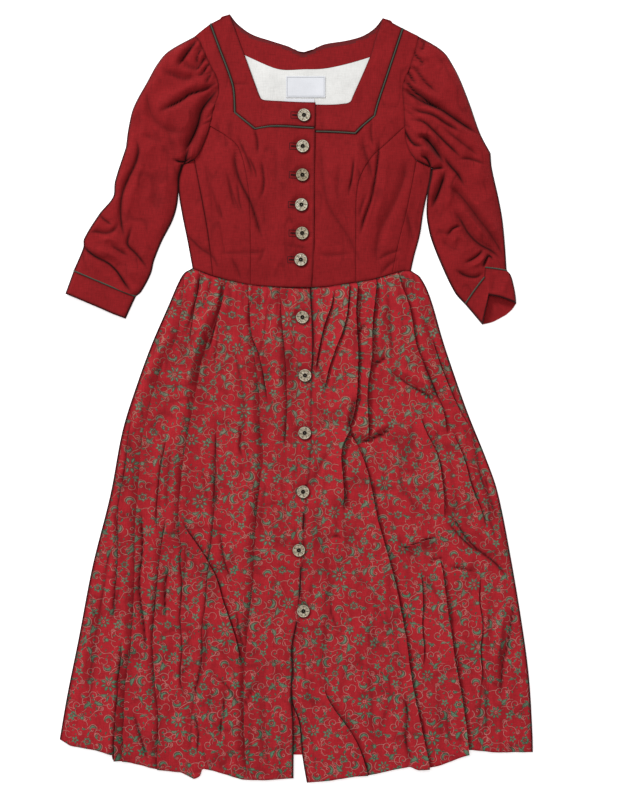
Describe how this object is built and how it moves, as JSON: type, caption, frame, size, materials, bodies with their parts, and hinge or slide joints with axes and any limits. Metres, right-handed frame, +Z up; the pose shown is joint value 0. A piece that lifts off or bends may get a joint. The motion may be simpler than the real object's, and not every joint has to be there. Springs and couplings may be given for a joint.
{
  "type": "dirndl",
  "caption": "Long dirndl laid flat: plain bodice with piped yoke and gathered three-quarter sleeves, buttoned front and gathered printed skirt.",
  "frame": {"origin": "bottom centre of the bounding box, on the surface that the dress lies on", "axes": "+X to the wearer's left, +Y from the hem up to the neck, +Z up from the surface, through the front"},
  "size_m": [0.7332, 1.1898, 0.0103],
  "materials": {
    "bodice_cloth": "matt plain-woven cotton, dark red",
    "skirt_print": "matt red cotton with a small grey-green floral scroll print",
    "lining_cloth": "matt off-white linen with slubs",
    "label_cloth": "smooth pale woven ribbon, bare",
    "piping_cloth": "dark grey-green bias-cut piping",
    "button_metal": "pale antique cast metal, dull"
  },
  "bodies": {
    "root": {"back_bodice": "bodice_cloth", "back_neck_facing": "bodice_cloth", "back_lining": "lining_cloth", "label": "label_cloth", "size_tab": "label_cloth", "yoke_right": "bodice_cloth", "yoke_left": "bodice_cloth", "yoke_piping_right": "piping_cloth", "yoke_piping_left": "piping_cloth", "centre_front_right": "bodice_cloth", "centre_front_left": "bodice_cloth", "side_front_right": "bodice_cloth", "side_front_left": "bodice_cloth", "underarm_panel_right": "bodice_cloth", "underarm_panel_left": "bodice_cloth", "sleeve_right": "bodice_cloth", "sleeve_left": "bodice_cloth", "cuff_right": "bodice_cloth", "cuff_left": "bodice_cloth", "cuff_piping_right": "piping_cloth", "cuff_piping_left_outer": "piping_cloth", "cuff_piping_left_inner": "piping_cloth", "skirt_front_right": "skirt_print", "skirt_front_left": "skirt_print", "skirt_back": "skirt_print", "button_01": "button_metal", "button_02": "button_metal", "button_03": "button_metal", "button_04": "button_metal", "button_05": "button_metal", "button_06": "button_metal", "button_07": "button_metal", "button_08": "button_metal", "button_09": "button_metal", "button_10": "button_metal", "button_11": "button_metal", "button_12": "button_metal"}
  },
  "joints": []
}
